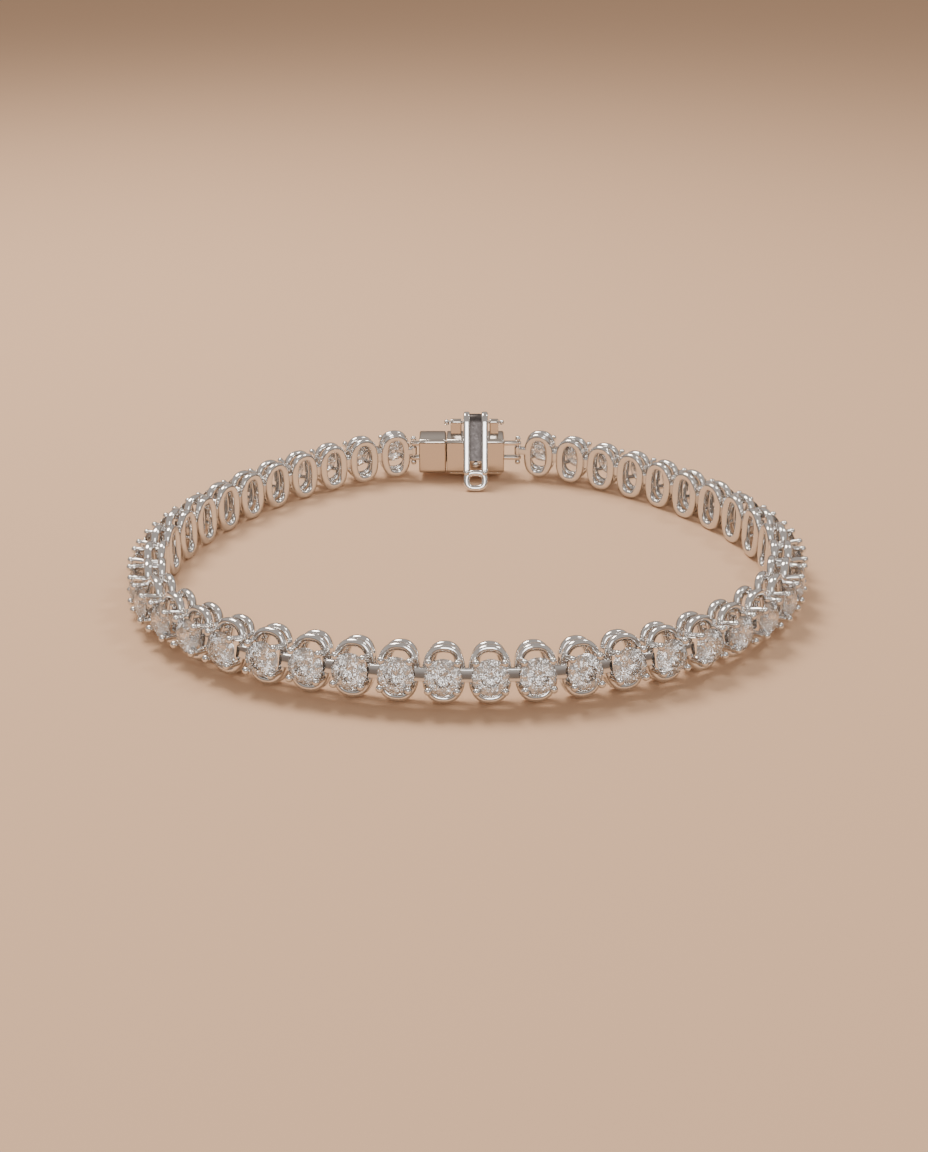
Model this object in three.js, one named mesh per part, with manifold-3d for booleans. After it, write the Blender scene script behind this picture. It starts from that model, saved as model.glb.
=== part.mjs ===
// A tennis bracelet, fastened and standing on its edge in an oval loop.
// Millimetres, +Z up. The origin is under the middle of the bracelet, on the surface it rests on.
// Each link is two oval wire rings, one behind the other, joined by four posts. The posts run on
// past the front ring as prongs that hold a round stone. Bars join each link to the next.
// A box clasp closes the back: a tongue slides into a box, and a hinged latch keeps it in.
import * as THREE from "three";
import { mergeVertices } from "three/addons/utils/BufferGeometryUtils.js";
import Module from "manifold-3d";

const wasm = await Module();
wasm.setup();

// Chain
const link_count = 42;
const link_pitch = 3.9;
const clasp_span = 16.9; // from the middle of the last link to the middle of the first
const chain_gap = 0.3; // between the two halves of the chain
const front_lean_deg = 20; // the front of the loop leans in, and the back stands upright
const clasp_lift = 0.7; // the latch's foot holds the back of the loop this far off the surface
const lift_reach = 14; // how far along the chain that lift fades away

// The loop seen from above, as chosen points: clockwise from the middle of the clasp. The curve
// through them is scaled until the links and the clasp fill it.
const loop_points = [
  { x: 0, y: 25.1 },
  { x: 4.5, y: 25.1 },
  { x: 8.3, y: 24.9 },
  { x: 15.3, y: 21.9 },
  { x: 21.5, y: 17.2 },
  { x: 28.4, y: 8.0 },
  { x: 30.8, y: -1.4 },
  { x: 28.4, y: -10.8 },
  { x: 20.4, y: -19.2 },
  { x: 9.8, y: -23.8 },
  { x: 0, y: -24.9 },
  { x: -9.6, y: -23.8 },
  { x: -20.6, y: -19.9 },
  { x: -28.6, y: -11.6 },
  { x: -30.5, y: -2.2 },
  { x: -28.1, y: 7.2 },
  { x: -21.6, y: 16.9 },
  { x: -15.6, y: 21.8 },
  { x: -8.5, y: 24.9 },
  { x: -4.5, y: 25.1 },
];

// Rings of a link
const back_ring_width = 3.3;
const back_ring_height = 5.4;
const front_ring_width = 3.6;
const front_ring_height = 5.2;
const back_wire_width = 0.85;
const front_wire_width = 0.58;
const wire_depth = 0.75;
const ring_spacing = 1.35; // between the middles of the two rings
// A quarter of a ring's outline, as shares of its half width and half height. The first corner
// ends the straight side, and the prong stands between the first and the second.
const ring_corners = [
  { across: 1, up: 0.32 },
  { across: 0.82, up: 0.62 },
  { across: 0.38, up: 1 },
];

// Stone and prongs
const stone_across = 3.2; // from corner to corner of the eight sided girdle
const table_share = 0.58;
const crown_height = 0.45;
const girdle_height = 0.1;
const pavilion_height = 1.35;
const seat_height = 2.6; // from the middle of the back ring to the girdle's lower edge
const stone_clearance = 0.08;
const prong_thickness = 0.54; // at the tip
const prong_overhang = 0.1; // how far a prong's tip stands above the stone's table

// Clasp
const clasp_drop = 0.4; // of the clasp's middle below the middles of the links beside it
const box_length = 6.8;
const box_depth = 3.5;
const box_height = 4.3;
const box_wall = 0.5;
const box_corner = 0.5;
const box_offset = 1; // of the box's middle from the middle of the clasp
const inner_face = -0.3; // the clasp's inner face, measured out from the middle of the back rings
const tongue_block_length = 3;
const tongue_gap = 0.3; // between the tongue's block and the box
const tongue_length = 5;
const tongue_thickness = 0.6;
const tongue_height = 2.4;

// Joints between the chain and the clasp
const eye_radius = 0.4;
const eye_height = 1;
const eye_rise = 0.45; // of the eye above the middle of the end ring
const end_bars = { right: 0.85, left: 0.5 }; // from the side of the end ring to the middle of the eye
const end_pin_radius = 0.17;
const end_pin_head = 0.3; // radius of the ball at each end of the pin
const pin_clearance = 0.1;
const lug_thickness = 0.4;
const lug_clearance = 0.2;

// Safety latch, its hinge and its keeper
const hinge_rise = 1.55; // of the hinge pin above the box
const hinge_inset = 1.7; // of the hinge pin from the box's outer face
const hinge_pin_radius = 0.17;
const hinge_ball_radius = 0.35; // at the pin's left end
const hinge_head_radius = 0.28; // at its right end
const ball_clearance = 0.1; // between those ends and the barrels
const barrel_radius = 0.44;
const latch_knuckle_radius = 0.6;
const knuckle_clearance = 0.2;
const latch_width = 2.9;
const latch_slant_deg = 26; // of the legs from upright
const leg_width = 0.8;
const leg_thickness = 0.6;
const latch_clearance = 0.5; // between the legs and the box's inner top edge
const bow_rise = 1.25; // of the middle of the bow above the hinge pin
const web_thickness = 0.3;
const web_recess = 0.25; // of the web between the legs, behind their face
const keeper_window = 1.3; // from the web's end to the foot, where the keeper stands
const foot_length = 2.5; // along the legs
const foot_thickness = 0.5;
const foot_wall = 0.75;
const waist_bead_radius = 0.33; // where the legs end on the foot
const keeper_radius = 0.4;
const keeper_stalk_radius = 0.22;
const bottom_rod_radius = 0.3; // along the box's lower inner edge

const round_sides = 12;

const white_gold = new THREE.MeshStandardMaterial({ color: 0xd8d2cb, roughness: 0.12, metalness: 1 });
const clasp_gold = new THREE.MeshStandardMaterial({ color: 0xcfc8c0, roughness: 0.16, metalness: 1 });
const diamond = new THREE.MeshStandardMaterial({ color: 0xeef2f6, roughness: 0.03, metalness: 0 });

// A closed geometry as a solid that can be joined or cut.
function solidOf(geometry) {
  const bare = geometry.clone();
  bare.deleteAttribute("normal");
  bare.deleteAttribute("uv");
  const merged = mergeVertices(bare, 1e-4);
  return new wasm.Manifold(
    new wasm.Mesh({
      numProp: 3,
      vertProperties: new Float32Array(merged.attributes.position.array),
      triVerts: new Uint32Array(merged.index.array),
    }),
  );
}

// A solid as a geometry with its own normals.
function geometryOf(solid) {
  const { vertProperties, triVerts } = solid.getMesh();
  const geometry = new THREE.BufferGeometry();
  geometry.setAttribute("position", new THREE.BufferAttribute(new Float32Array(vertProperties), 3));
  geometry.setIndex(new THREE.BufferAttribute(new Uint32Array(triVerts), 1));
  const faceted = geometry.toNonIndexed();
  faceted.computeVertexNormals();
  return faceted;
}

function joined(geometries) {
  return geometries.map(solidOf).reduce((whole, piece) => whole.add(piece));
}

// The loop's curve, as long as the links and the clasp together.
const loop_length = (link_count - 1) * link_pitch + clasp_span;
function loopCurve() {
  const drawn = loop_points.map(({ x, y }) => new THREE.Vector3(x, y, 0));
  const curve = new THREE.CatmullRomCurve3(drawn, true, "centripetal");
  curve.arcLengthDivisions = 2000;
  const scale = loop_length / curve.getLength();
  const scaled = new THREE.CatmullRomCurve3(
    drawn.map((point) => point.clone().multiplyScalar(scale)),
    true,
    "centripetal",
  );
  scaled.arcLengthDivisions = 2000;
  return scaled;
}
const loop = loopCurve();

// The share of the loop at which a link's middle stands.
const linkShare = (index) => (clasp_span / 2 + index * link_pitch) / loop_length;

// A link's frame: x along the chain, y out of the loop and z up the link, leaning in at the front.
function linkFrame(index) {
  const share = linkShare(index);
  const middle = loop.getPointAt(share);
  const along = loop.getTangentAt(share);
  const lean = THREE.MathUtils.degToRad(front_lean_deg) * Math.max(0, -Math.cos(2 * Math.PI * share));
  const from_clasp = Math.min(share, 1 - share) * loop_length;
  const lift = clasp_lift * Math.exp(-((from_clasp / lift_reach) ** 2));
  const rise = (back_ring_height / 2) * Math.cos(lean) + (wire_depth / 2) * Math.sin(lean);
  const turn = new THREE.Matrix4().makeRotationZ(Math.atan2(along.y, along.x));
  const tilt = new THREE.Matrix4().makeRotationX(lean);
  const place = new THREE.Matrix4().makeTranslation(middle.x, middle.y, rise + lift);
  return place.multiply(turn).multiply(tilt);
}

// The twelve corners of a ring's outline, from the foot of its right side round over its top.
function ringOutline(half_width, half_height) {
  const quarter = ring_corners.map(({ across, up }) => [across * half_width, up * half_height]);
  const top_left = quarter.map(([x, z]) => [-x, z]).reverse();
  const bottom_left = quarter.map(([x, z]) => [-x, -z]);
  const bottom_right = quarter.map(([x, z]) => [x, -z]).reverse();
  return [...bottom_right.slice(-1), ...quarter, ...top_left, ...bottom_left, ...bottom_right.slice(0, -1)];
}

// The two outlines of a wire ring, inner first.
function ringOutlines(width, height, wire_width) {
  return [
    ringOutline(width / 2 - wire_width, height / 2 - wire_width),
    ringOutline(width / 2, height / 2),
  ];
}

const corner_count = 4 * ring_corners.length;
const right_side = 0;
const left_side = corner_count / 2;
const prong_segments = [1, left_side - 1, left_side + 1, corner_count - 1];
const girdle_apothem = (stone_across / 2) * Math.cos(Math.PI / 8);
const prong_distance = girdle_apothem + stone_clearance + prong_thickness / 2;
const prong_top = seat_height + girdle_height + crown_height + prong_overhang;

// The four corners of a prong's tip. The prong stands over one segment of the front ring, and its
// tip is a square that faces the stone.
function prongTip(start, end) {
  const middle = new THREE.Vector2((start[0] + end[0]) / 2, (start[1] + end[1]) / 2);
  const outward = new THREE.Vector2(Math.sign(middle.x), Math.sign(middle.y)).normalize();
  const sideways = new THREE.Vector2(-outward.y, outward.x);
  const half = prong_thickness / 2;
  const corner = (out, side) => [
    outward.x * (prong_distance + out * half) + sideways.x * side * half,
    outward.y * (prong_distance + out * half) + sideways.y * side * half,
  ];
  return { inner: [corner(-1, -1), corner(-1, 1)], outer: [corner(1, -1), corner(1, 1)] };
}

// A chain of links as one closed surface. Vertices are added link by link, and each face is a
// quad of four of them, seen from outside in counterclockwise order.
function chainGeometry(first, count, { bar_at_end }) {
  const positions = [];
  const faces = [];
  const quad = (a, b, c, d) => faces.push(a, b, c, a, c, d);
  const [back_inner, back_outer] = ringOutlines(back_ring_width, back_ring_height, back_wire_width);
  const [front_inner, front_outer] = ringOutlines(front_ring_width, front_ring_height, front_wire_width);
  const half_depth = wire_depth / 2;
  const layers = [
    { y: -half_depth, inner: back_inner, outer: back_outer },
    { y: half_depth, inner: back_inner, outer: back_outer },
    { y: ring_spacing - half_depth, inner: front_inner, outer: front_outer },
    { y: ring_spacing + half_depth, inner: front_inner, outer: front_outer },
  ];
  const next = (corner) => (corner + 1) % corner_count;

  // Walls and faces between two layers, over one segment of the outline.
  const outerWall = (low, high, i) => quad(low.outer[i], high.outer[i], high.outer[next(i)], low.outer[next(i)]);
  const innerWall = (low, high, i) => quad(low.inner[i], low.inner[next(i)], high.inner[next(i)], high.inner[i]);
  const backFace = (layer, i) => quad(layer.inner[i], layer.outer[i], layer.outer[next(i)], layer.inner[next(i)]);
  const frontFace = (layer, i) => quad(layer.inner[i], layer.inner[next(i)], layer.outer[next(i)], layer.outer[i]);
  const post = (low, high, i) => {
    const j = next(i);
    outerWall(low, high, i);
    innerWall(low, high, i);
    quad(low.inner[i], high.inner[i], high.outer[i], low.outer[i]);
    quad(low.inner[j], low.outer[j], high.outer[j], high.inner[j]);
  };

  const links = [];
  for (let index = first; index < first + count; index++) {
    const frame = linkFrame(index);
    const vertex = (x, y, z) => {
      const point = new THREE.Vector3(x, y, z).applyMatrix4(frame);
      positions.push(point.x, point.y, point.z);
      return positions.length / 3 - 1;
    };
    const rings = layers.map(({ y, inner, outer }) => ({
      inner: inner.map(([x, z]) => vertex(x, y, z)),
      outer: outer.map(([x, z]) => vertex(x, y, z)),
    }));
    const [back_low, back_high, front_low, front_high] = rings;
    const bars_on = {
      [right_side]: index < first + count - 1 || bar_at_end,
      [left_side]: index > first,
    };
    for (let i = 0; i < corner_count; i++) {
      const has_post = prong_segments.includes(i);
      if (!bars_on[i]) outerWall(back_low, back_high, i);
      innerWall(back_low, back_high, i);
      backFace(back_low, i);
      outerWall(front_low, front_high, i);
      innerWall(front_low, front_high, i);
      if (has_post) {
        post(back_high, front_low, i);
        const tip = prongTip(front_outer[i], front_outer[next(i)]);
        const top = { inner: [], outer: [] };
        [i, next(i)].forEach((corner, end) => {
          top.inner[corner] = vertex(tip.inner[end][0], prong_top, tip.inner[end][1]);
          top.outer[corner] = vertex(tip.outer[end][0], prong_top, tip.outer[end][1]);
        });
        post(front_high, top, i);
        frontFace(top, i);
      } else {
        frontFace(back_high, i);
        backFace(front_low, i);
        frontFace(front_high, i);
      }
    }
    // A short bar stands out of the last link's right side, up to the gap between the halves.
    let bar_end = null;
    if (index === first + count - 1 && bar_at_end) {
      const side_x = back_ring_width / 2;
      const side_z = ring_corners[0].up * (back_ring_height / 2);
      const end_x = side_x + link_pitch - back_ring_width - chain_gap;
      bar_end = [
        vertex(end_x, -half_depth, -side_z),
        vertex(end_x, half_depth, -side_z),
        vertex(end_x, half_depth, side_z),
        vertex(end_x, -half_depth, side_z),
      ];
    }
    links.push({ back_low, back_high, bar_end });
  }

  // The bars, from the right side of each link's back ring to the left side of the next one's.
  links.forEach(({ back_low, back_high, bar_end }, index) => {
    const i = right_side;
    const from = [back_low.outer[i], back_high.outer[i], back_high.outer[next(i)], back_low.outer[next(i)]];
    let to = bar_end;
    if (index < links.length - 1) {
      const { back_low: low, back_high: high } = links[index + 1];
      const j = left_side;
      to = [low.outer[next(j)], high.outer[next(j)], high.outer[j], low.outer[j]];
    }
    if (!to) return;
    from.forEach((corner, side) => quad(corner, from[(side + 1) % 4], to[(side + 1) % 4], to[side]));
    if (to === bar_end) quad(...bar_end);
  });

  const geometry = new THREE.BufferGeometry();
  geometry.setAttribute("position", new THREE.BufferAttribute(new Float32Array(positions), 3));
  geometry.setIndex(faces);
  return geometry;
}

// A round brilliant with an eight sided girdle, its axis along +y and a flat towards each prong.
function stoneGeometry() {
  const radius = stone_across / 2;
  const profile = [
    new THREE.Vector2(0, -pavilion_height),
    new THREE.Vector2(radius, 0),
    new THREE.Vector2(radius, girdle_height),
    new THREE.Vector2(radius * table_share, girdle_height + crown_height),
    new THREE.Vector2(0, girdle_height + crown_height),
  ];
  return new THREE.LatheGeometry(profile, 8, Math.PI / 8);
}

// A cylinder along x, y or z.
function rod(axis, radius, from, to, centre) {
  const geometry = new THREE.CylinderGeometry(radius, radius, to - from, round_sides);
  if (axis === "x") geometry.rotateZ(-Math.PI / 2);
  if (axis === "z") geometry.rotateX(Math.PI / 2);
  const middle = { x: 0, y: 0, z: 0, ...centre, [axis]: (from + to) / 2 };
  return geometry.translate(middle.x, middle.y, middle.z);
}

function ball(radius, { x, y, z }) {
  return new THREE.SphereGeometry(radius, round_sides, 6).translate(x, y, z);
}

// A shape drawn in the y, z plane and extruded along x.
function extrudedAlongX(shape, from, to, curveSegments = 3) {
  const geometry = new THREE.ExtrudeGeometry(shape, { depth: to - from, bevelEnabled: false, curveSegments });
  const axes = new THREE.Matrix4().makeBasis(
    new THREE.Vector3(0, 1, 0),
    new THREE.Vector3(0, 0, 1),
    new THREE.Vector3(1, 0, 0),
  );
  return geometry.applyMatrix4(axes).translate(from, 0, 0);
}

function roundedRectangle(low, high, radius) {
  const [left, bottom] = low;
  const [right, top] = high;
  const shape = new THREE.Shape();
  shape.moveTo(left + radius, bottom);
  shape.lineTo(right - radius, bottom);
  shape.absarc(right - radius, bottom + radius, radius, -Math.PI / 2, 0);
  shape.lineTo(right, top - radius);
  shape.absarc(right - radius, top - radius, radius, 0, Math.PI / 2);
  shape.lineTo(left + radius, top);
  shape.absarc(left + radius, top - radius, radius, Math.PI / 2, Math.PI);
  shape.lineTo(left, bottom + radius);
  shape.absarc(left + radius, bottom + radius, radius, Math.PI, 1.5 * Math.PI);
  return shape;
}

function block(low, high) {
  const geometry = new THREE.BoxGeometry(high[0] - low[0], high[1] - low[1], high[2] - low[2]);
  return geometry.translate((low[0] + high[0]) / 2, (low[1] + high[1]) / 2, (low[2] + high[2]) / 2);
}

// The clasp's frame: x along the bracelet, y out of the loop, z up, with its origin at the middle
// of the clasp and of its height.
const clasp_height = back_ring_height / 2 + clasp_lift - clasp_drop;
const clasp_middle = loop.getPointAt(0);
const clasp_frame = new THREE.Matrix4().makeTranslation(clasp_middle.x, clasp_middle.y, clasp_height);
const box_left = box_offset - box_length / 2;
const box_right = box_offset + box_length / 2;
const box_top = box_height / 2;
const outer_face = inner_face + box_depth;
const hinge = { y: outer_face - hinge_inset, z: box_top + hinge_rise };
const barrels_left = box_left + ball_clearance + hinge_ball_radius;
const barrels_right = box_right - ball_clearance - 2 * hinge_head_radius;
const block_right = box_left - tongue_gap;
const block_left = block_right - tongue_block_length;

// The latch's legs slant down past the box's inner top edge. A place on their middle line is
// measured down from the one nearest to that edge, and away from the box.
const slant = THREE.MathUtils.degToRad(latch_slant_deg);
const leg_reach = latch_clearance + leg_thickness / 2;
function onLegs(down, away = 0) {
  return {
    y: inner_face - (leg_reach + away) * Math.cos(slant) - down * Math.sin(slant),
    z: box_top + (leg_reach + away) * Math.sin(slant) - down * Math.cos(slant),
  };
}
const foot_sole = leg_reach - foot_thickness / 2;
const foot_down = (box_top + clasp_height + foot_sole * Math.sin(slant)) / Math.cos(slant);
const web_down = foot_down - foot_length - keeper_window;
const keeper_down = web_down + 0.46 * keeper_window;
const bow_down = -2.2; // where the bow begins

// The eye at one end of the chain, in the clasp's frame.
function eyePlace(index, direction, end_bar) {
  const reach = direction * (back_ring_width / 2 + end_bar);
  const place = new THREE.Vector3(reach, 0, eye_rise).applyMatrix4(linkFrame(index));
  return place.applyMatrix4(clasp_frame.clone().invert());
}
const right_eye = eyePlace(0, -1, end_bars.right);
const left_eye = eyePlace(link_count - 1, 1, end_bars.left);

// The eye, with its bore for a pin, and the bar that joins it to the side of the end ring.
function eyeSolid(place, index, direction, end_bar) {
  const half = eye_height / 2;
  const side = direction * (back_ring_width / 2 - back_wire_width / 2);
  const reach = direction * (back_ring_width / 2 + end_bar - end_pin_radius - pin_clearance);
  const bar = block(
    [Math.min(side, reach), -wire_depth / 2, eye_rise - half * 0.8],
    [Math.max(side, reach), wire_depth / 2, eye_rise + half * 0.8],
  ).applyMatrix4(linkFrame(index));
  const eye = rod("z", eye_radius, place.z - half, place.z + half, place).applyMatrix4(clasp_frame);
  const bore_radius = end_pin_radius + pin_clearance;
  const bore = rod("z", bore_radius, place.z - half - 1, place.z + half + 1, place).applyMatrix4(clasp_frame);
  return joined([bar, eye]).subtract(solidOf(bore));
}

// Two lugs that hold the end pin above and below the eye, and reach back to the clasp at face_x.
function lugSolids(place, face_x) {
  const inside = face_x + Math.sign(face_x - place.x) * box_wall;
  const low = eye_height / 2 + lug_clearance;
  return [-1, 1].flatMap((side) => {
    const ends = [place.z + side * low, place.z + side * (low + lug_thickness)].sort((a, b) => a - b);
    const web = block(
      [Math.min(place.x, inside), place.y - eye_radius, ends[0]],
      [Math.max(place.x, inside), place.y + eye_radius, ends[1]],
    );
    return [rod("z", eye_radius, ends[0], ends[1], place), web];
  });
}

function endPinSpan(place) {
  const half = eye_height / 2 + lug_clearance + lug_thickness;
  return [place.z - half, place.z + half];
}

// The bore that an end pin passes through, as long as the pin and a little more.
function endPinBore(place) {
  const [low, high] = endPinSpan(place);
  return rod("z", end_pin_radius + pin_clearance, low - 1, high + 1, place);
}

function chainHalf(first, count, eye, options) {
  const chain = solidOf(chainGeometry(first, count, options));
  const end = eyeSolid(eye.place, eye.index, eye.direction, eye.end_bar);
  return geometryOf(chain.add(end));
}

// The box, open towards the tongue, with two hinge barrels on top, lugs at its right end, and a
// keeper on its inner face: a ball on a stalk, which stands in the latch's window.
function claspBox() {
  const shell = extrudedAlongX(
    roundedRectangle([inner_face, -box_top], [outer_face, box_top], box_corner),
    box_left,
    box_right,
  );
  const cavity = block(
    [box_left - 1, inner_face + box_wall, -box_top + box_wall],
    [box_right - box_wall, outer_face - box_wall, box_top - box_wall],
  );
  const barrel = (from, to) => {
    const shape = new THREE.Shape();
    shape.moveTo(hinge.y + barrel_radius, box_top - box_wall / 2);
    shape.lineTo(hinge.y + barrel_radius, hinge.z);
    shape.absarc(hinge.y, hinge.z, barrel_radius, 0, Math.PI);
    shape.lineTo(hinge.y - barrel_radius, box_top - box_wall / 2);
    return extrudedAlongX(shape, from, to, round_sides / 2);
  };
  const knuckle_room = latch_width / 2 + knuckle_clearance;
  const keeper = { x: box_offset, ...onLegs(keeper_down) };
  const pieces = [
    shell,
    barrel(barrels_left, box_offset - knuckle_room),
    barrel(box_offset + knuckle_room, barrels_right),
    rod("x", bottom_rod_radius, box_left + 0.2, box_right - 0.2, { y: inner_face + box_corner, z: -box_top }),
    rod("y", keeper_stalk_radius, keeper.y, inner_face + box_wall / 2, keeper),
    ball(keeper_radius, keeper),
    ...lugSolids(right_eye, box_right),
  ];
  const bore = rod("x", hinge_pin_radius + pin_clearance, box_left - 1, box_right + 1, hinge);
  return joined(pieces).subtract(joined([cavity, bore, endPinBore(right_eye)]));
}

// The tongue's block, which carries the chain's left end, and the tongue that slides into the box.
function claspTongue() {
  const body = extrudedAlongX(
    roundedRectangle([inner_face, -box_top], [outer_face, box_top], box_corner),
    block_left,
    block_right,
  );
  const middle_y = (inner_face + outer_face) / 2;
  const tongue = block(
    [block_right - box_wall, middle_y - tongue_thickness / 2, -tongue_height / 2],
    [block_right + tongue_length, middle_y + tongue_thickness / 2, tongue_height / 2],
  );
  return joined([body, tongue, ...lugSolids(left_eye, block_left)]).subtract(solidOf(endPinBore(left_eye)));
}

// A pin with a ball at each end, through the barrels and the latch's knuckle.
function hingePin() {
  const from = barrels_left - ball_clearance - hinge_ball_radius;
  const to = barrels_right + ball_clearance + hinge_head_radius;
  return joined([
    rod("x", hinge_pin_radius, from, to, hinge),
    ball(hinge_ball_radius, { x: from, ...hinge }),
    ball(hinge_head_radius, { x: to, ...hinge }),
  ]);
}

function endPin(place) {
  const [low, high] = endPinSpan(place);
  const reach = ball_clearance + end_pin_head;
  return joined([
    rod("z", end_pin_radius, low - reach, high + reach, place),
    ball(end_pin_head, { ...place, z: low - reach }),
    ball(end_pin_head, { ...place, z: high + reach }),
  ]);
}

// The middle line of the latch's legs and bow, from the knuckle over the box and down to the foot.
function latchCurve() {
  const places = [
    { y: hinge.y, z: hinge.z + latch_knuckle_radius / 2 },
    { y: hinge.y - 0.3, z: hinge.z + bow_rise * 0.88 },
    { y: hinge.y - 1, z: hinge.z + bow_rise },
    onLegs(bow_down),
    onLegs(bow_down / 2),
    onLegs(0),
    onLegs(web_down),
    onLegs(foot_down - foot_length + foot_wall / 2),
  ];
  const curve = new THREE.CatmullRomCurve3(places.map(({ y, z }) => new THREE.Vector3(y, z, 0)));
  return { curve, spans: places.length - 1 };
}

// A strip along part of that line, as a shape to extrude. It is shifted towards the box.
function latchStrip(from, to, stations, thickness, shift) {
  const { curve, spans } = latchCurve();
  const side = (offset) =>
    Array.from({ length: stations + 1 }, (_, step) => {
      const share = (from + ((to - from) * step) / stations) / spans;
      const point = curve.getPoint(share);
      const along = curve.getTangent(share);
      return new THREE.Vector2(point.x - along.y * offset, point.y + along.x * offset);
    });
  return new THREE.Shape([...side(shift + thickness / 2), ...side(shift - thickness / 2).reverse()]);
}

// The foot is a small loop in the slanted plane of the legs.
function footGeometry() {
  const oval = (outline, half_width, low, high) => {
    const radius = Math.min(half_width, (high - low) / 2);
    outline.moveTo(half_width, high - radius);
    outline.absarc(half_width - radius, high - radius, radius, 0, Math.PI / 2);
    outline.absarc(radius - half_width, high - radius, radius, Math.PI / 2, Math.PI);
    outline.absarc(radius - half_width, low + radius, radius, Math.PI, 1.5 * Math.PI);
    outline.absarc(half_width - radius, low + radius, radius, 1.5 * Math.PI, 2 * Math.PI);
    return outline;
  };
  const half_width = latch_width / 2;
  const shape = oval(new THREE.Shape(), half_width, 0, foot_length);
  shape.holes.push(oval(new THREE.Path(), half_width - foot_wall, foot_wall, foot_length - foot_wall));
  const geometry = new THREE.ExtrudeGeometry(shape, { depth: foot_thickness, bevelEnabled: false, curveSegments: 4 });
  const plane = new THREE.Matrix4().makeBasis(
    new THREE.Vector3(1, 0, 0),
    new THREE.Vector3(0, Math.sin(slant), Math.cos(slant)),
    new THREE.Vector3(0, -Math.cos(slant), Math.sin(slant)),
  );
  const bottom = onLegs(foot_down);
  plane.setPosition(box_offset, bottom.y, bottom.z);
  return geometry.translate(0, 0, -foot_thickness / 2).applyMatrix4(plane);
}

// The latch: a knuckle on the hinge pin, two legs that bow over the box and slant down past its
// inner face, a thinner web between them, and the foot, which stands on the surface.
function safetyLatch() {
  const half = latch_width / 2;
  const leg_shape = latchStrip(0, 7, 14, leg_thickness, 0);
  const legs = [-half, half - leg_width].map((from) =>
    extrudedAlongX(leg_shape, box_offset + from, box_offset + from + leg_width),
  );
  const web_shift = web_recess - (leg_thickness - web_thickness) / 2;
  const web_half = half - leg_width / 2;
  const web = extrudedAlongX(
    latchStrip(1, 6, 10, web_thickness, web_shift),
    box_offset - web_half,
    box_offset + web_half,
  );
  const waist = onLegs(foot_down - foot_length + foot_wall / 2, leg_thickness / 2);
  const bead_reach = half - leg_width / 2;
  const beads = [-bead_reach, bead_reach].map((x) => ball(waist_bead_radius, { x: box_offset + x, ...waist }));
  const knuckle = rod("x", latch_knuckle_radius, box_offset - half, box_offset + half, hinge);
  const bore = rod("x", hinge_pin_radius + pin_clearance, box_offset - half - 1, box_offset + half + 1, hinge);
  return joined([knuckle, ...legs, web, footGeometry(), ...beads]).subtract(solidOf(bore));
}

const bracelet = new THREE.Group();
bracelet.name = "tennis_bracelet";

function addPiece(parent, name, geometry, material) {
  const mesh = new THREE.Mesh(geometry, material);
  mesh.name = name;
  parent.add(mesh);
  return mesh;
}

const half_count = Math.floor(link_count / 2);
addPiece(
  bracelet,
  "link_chain_right",
  chainHalf(
    0,
    half_count,
    { place: right_eye, index: 0, direction: -1, end_bar: end_bars.right },
    { bar_at_end: true },
  ),
  white_gold,
);
addPiece(
  bracelet,
  "link_chain_left",
  chainHalf(
    half_count,
    link_count - half_count,
    { place: left_eye, index: link_count - 1, direction: 1, end_bar: end_bars.left },
    { bar_at_end: false },
  ),
  white_gold,
);

for (let index = 0; index < link_count; index++) {
  const name = `stone_${String(index + 1).padStart(2, "0")}`;
  const stone = addPiece(bracelet, name, stoneGeometry(), diamond);
  const seat = new THREE.Matrix4().makeTranslation(0, seat_height, 0);
  stone.applyMatrix4(linkFrame(index).multiply(seat));
}

const clasp = new THREE.Group();
clasp.applyMatrix4(clasp_frame);
bracelet.add(clasp);
addPiece(clasp, "clasp_box", geometryOf(claspBox()), clasp_gold);
addPiece(clasp, "clasp_tongue", geometryOf(claspTongue()), clasp_gold);
addPiece(clasp, "hinge_pin", geometryOf(hingePin()), white_gold);
addPiece(clasp, "safety_latch", geometryOf(safetyLatch()), white_gold);
addPiece(clasp, "end_pin_right", geometryOf(endPin(right_eye)), white_gold);
addPiece(clasp, "end_pin_left", geometryOf(endPin(left_eye)), white_gold);

// The bracelet stands with the middle of its box over the origin.
const bounds = new THREE.Box3().setFromObject(bracelet, true);
bracelet.position.set(-(bounds.min.x + bounds.max.x) / 2, -(bounds.min.y + bounds.max.y) / 2, -bounds.min.z);

export default bracelet;
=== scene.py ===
"""A fastened tennis bracelet, standing on its edge: polished links, cut stones and a box clasp.

Lengths in the settings are millimetres in the part's own frame. X runs along the clasp, Y out of
the loop at the clasp and Z up. Each link has a frame of its own: x along the chain, y out of the
loop and z up the link, with its origin at the middle of the back ring.
"""

import math

import bmesh
import bpy
import numpy as np
from bpy.props import FloatProperty, PointerProperty, StringProperty
from mathutils import Matrix, Vector


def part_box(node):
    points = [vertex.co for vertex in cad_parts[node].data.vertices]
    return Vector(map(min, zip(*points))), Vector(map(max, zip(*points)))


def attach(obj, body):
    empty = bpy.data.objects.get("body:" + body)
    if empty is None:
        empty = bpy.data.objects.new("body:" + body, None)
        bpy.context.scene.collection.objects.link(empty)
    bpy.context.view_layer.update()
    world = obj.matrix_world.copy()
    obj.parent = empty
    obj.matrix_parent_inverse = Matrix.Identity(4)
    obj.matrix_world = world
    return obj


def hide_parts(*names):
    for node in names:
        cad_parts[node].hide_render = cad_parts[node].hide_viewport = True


bl_info = {
    "name": "Tennis Bracelet",
    "version": (1, 0, 0),
    "blender": (4, 5, 0),
    "location": "3D View > Sidebar > Bracelet",
    "description": "Dresses the links, stones and clasp of a tennis bracelet",
    "category": "Object",
}

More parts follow.
